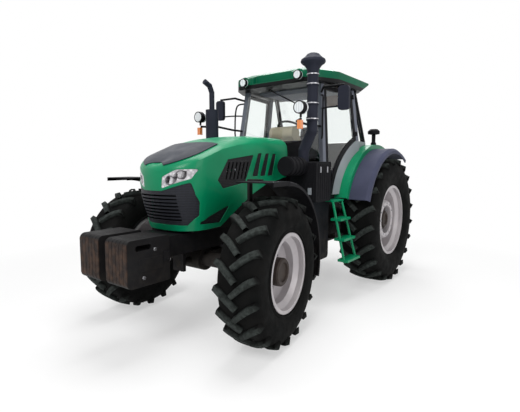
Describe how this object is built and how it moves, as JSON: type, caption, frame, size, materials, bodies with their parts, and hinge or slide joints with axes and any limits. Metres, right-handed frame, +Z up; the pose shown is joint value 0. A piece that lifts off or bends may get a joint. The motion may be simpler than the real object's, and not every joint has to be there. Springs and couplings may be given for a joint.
{
  "type": "farm tractor",
  "caption": "Four-wheel-drive farm tractor with glazed cab, sloping hood, front ballast weights, steered front axle, opening doors and hood, and rear three-point linkage.",
  "frame": {"origin": "middle of the bounding box on the ground that the tyres stand on", "axes": "+X to the driver's left, +Y to the rear, +Z up"},
  "size_m": [2.5556, 5.01, 3.0094],
  "materials": {
    "frame_black": "satin black paint",
    "weight_iron": "black painted casting",
    "axle_grey": "dark grey painted casting",
    "engine_iron": "dark grey painted casting",
    "tank_plastic": "dark grey moulded",
    "black_plastic": "black moulded",
    "exhaust_steel": "heat-proof dark paint",
    "cab_black": "satin black paint",
    "panel_grey": "light grey paint",
    "roof_green": "dark green gloss",
    "glass": "clear, slightly green",
    "dash_beige": "beige moulded",
    "seat_cloth": "dark grey woven cloth",
    "body_green": "green gloss",
    "edging_grey": "blue-grey moulded",
    "lamp_clear": "clear lens over bright reflector",
    "amber_lens": "amber lens",
    "bright_steel": "ground steel",
    "slate_plastic": "dark slate moulded",
    "tyre": "matt black rubber",
    "rim_silver": "silver paint"
  },
  "bodies": {
    "chassis": {"front_frame": "frame_black", "front_weights": "weight_iron", "front_axle": "axle_grey", "engine_block": "engine_iron", "gearbox_housing": "axle_grey", "side_tanks": "tank_plastic", "air_cleaner": "black_plastic", "intake_stack": "black_plastic", "exhaust_stack": "exhaust_steel", "cowl": "black_plastic", "cab_floor": "cab_black", "cab_side_panels": "panel_grey", "cab_pillars": "cab_black", "cab_roof": "roof_green", "cab_glass": "glass", "dashboard": "dash_beige", "steering_wheel": "black_plastic", "seat_frame": "cab_black", "seat_pads": "seat_cloth", "rear_fenders": "body_green", "fender_edging": "edging_grey", "boarding_steps": "body_green", "cab_rails": "cab_black", "mirrors": "black_plastic", "work_lamps": "lamp_clear", "turn_signals": "amber_lens", "breather_cap": "black_plastic", "hitch_frame": "axle_grey", "drawbar": "axle_grey", "top_link": "axle_grey"},
    "hood": {"hood_shell": "body_green", "hood_hinges": "bright_steel", "hood_top_panel": "slate_plastic", "front_grille": "black_plastic", "side_grilles": "black_plastic", "headlamps": "lamp_clear"},
    "left_door_body": {"left_door": "cab_black", "left_door_glass": "glass"},
    "right_door_body": {"right_door": "cab_black", "right_door_glass": "glass"},
    "left_steer": {"left_knuckle": "axle_grey", "left_front_fender": "black_plastic"},
    "right_steer": {"right_knuckle": "axle_grey", "right_front_fender": "black_plastic"},
    "tie_rod_body": {"tie_rod": "bright_steel"},
    "front_left_wheel": {"front_left_tyre": "tyre", "front_left_rim": "rim_silver"},
    "front_right_wheel": {"front_right_tyre": "tyre", "front_right_rim": "rim_silver"},
    "rear_left_wheel": {"rear_left_tyre": "tyre", "rear_left_rim": "rim_silver"},
    "rear_right_wheel": {"rear_right_tyre": "tyre", "rear_right_rim": "rim_silver"},
    "lift_arms_body": {"lift_arms": "axle_grey"},
    "lift_rods_body": {"lift_rods": "axle_grey"},
    "lower_links_body": {"lower_links": "axle_grey"}
  },
  "joints": [
    {"name": "steer_left", "type": "hinge", "parent": "chassis", "child": "left_steer", "pos_m": [0.8, -1.365, 0.715], "axis": [0, 0, 1], "range_deg": [-46, 30]},
    {"name": "steer_right", "type": "hinge", "parent": "chassis", "child": "right_steer", "pos_m": [-0.8, -1.365, 0.715], "axis": [0, 0, 1], "range_deg": [-46, 30]},
    {"name": "tie_rod_slide", "type": "slide", "parent": "chassis", "child": "tie_rod_body", "axis": [1, 0, 0], "range_m": [-0.1, 0.152]},
    {"name": "front_left_spin", "type": "hinge", "parent": "left_steer", "child": "front_left_wheel", "pos_m": [0.9733, -1.34065, 0.715], "axis": [0.9903, 0.1392, 0], "continuous": true},
    {"name": "front_right_spin", "type": "hinge", "parent": "right_steer", "child": "front_right_wheel", "pos_m": [-0.9733, -1.38935, 0.715], "axis": [0.9903, 0.1392, 0], "continuous": true},
    {"name": "rear_left_spin", "type": "hinge", "parent": "chassis", "child": "rear_left_wheel", "pos_m": [0.975, 1.445, 0.915], "axis": [1, 0, 0], "continuous": true},
    {"name": "rear_right_spin", "type": "hinge", "parent": "chassis", "child": "rear_right_wheel", "pos_m": [-0.975, 1.445, 0.915], "axis": [1, 0, 0], "continuous": true},
    {"name": "hood_lift", "type": "hinge", "parent": "chassis", "child": "hood", "pos_m": [0, -0.295, 2], "axis": [-1, 0, 0], "range_deg": [0, 50]},
    {"name": "left_door_swing", "type": "hinge", "parent": "chassis", "child": "left_door_body", "pos_m": [0.8091, 0.94742, 2.12637], "axis": [-0.119, -0.0212, 0.9927], "range_deg": [0, 70]},
    {"name": "right_door_swing", "type": "hinge", "parent": "chassis", "child": "right_door_body", "pos_m": [-0.8091, 0.94742, 2.12637], "axis": [-0.119, 0.0212, -0.9927], "range_deg": [0, 70]},
    {"name": "lift_arms_rock", "type": "hinge", "parent": "chassis", "child": "lift_arms_body", "pos_m": [0, 1.775, 1.34], "axis": [1, 0, 0], "range_deg": [-35, 38]},
    {"name": "lift_rods_hang", "type": "hinge", "parent": "lift_arms_body", "child": "lift_rods_body", "pos_m": [0, 2.105, 1.38], "axis": [1, 0, 0], "range_deg": [-38, 35]},
    {"name": "lower_links_swing", "type": "hinge", "parent": "chassis", "child": "lower_links_body", "pos_m": [0, 1.575, 0.58], "axis": [1, 0, 0], "range_deg": [-22.5, 24]}
  ],
  "couplings": [
    {"joint": "steer_right", "follows": "steer_left", "ratio": 1},
    {"joint": "tie_rod_slide", "follows": "steer_left", "m_per_rad": -0.188},
    {"joint": "lift_rods_hang", "follows": "lift_arms_rock", "ratio": -0.955},
    {"joint": "lower_links_swing", "follows": "lift_arms_rock", "ratio": 0.6226}
  ]
}
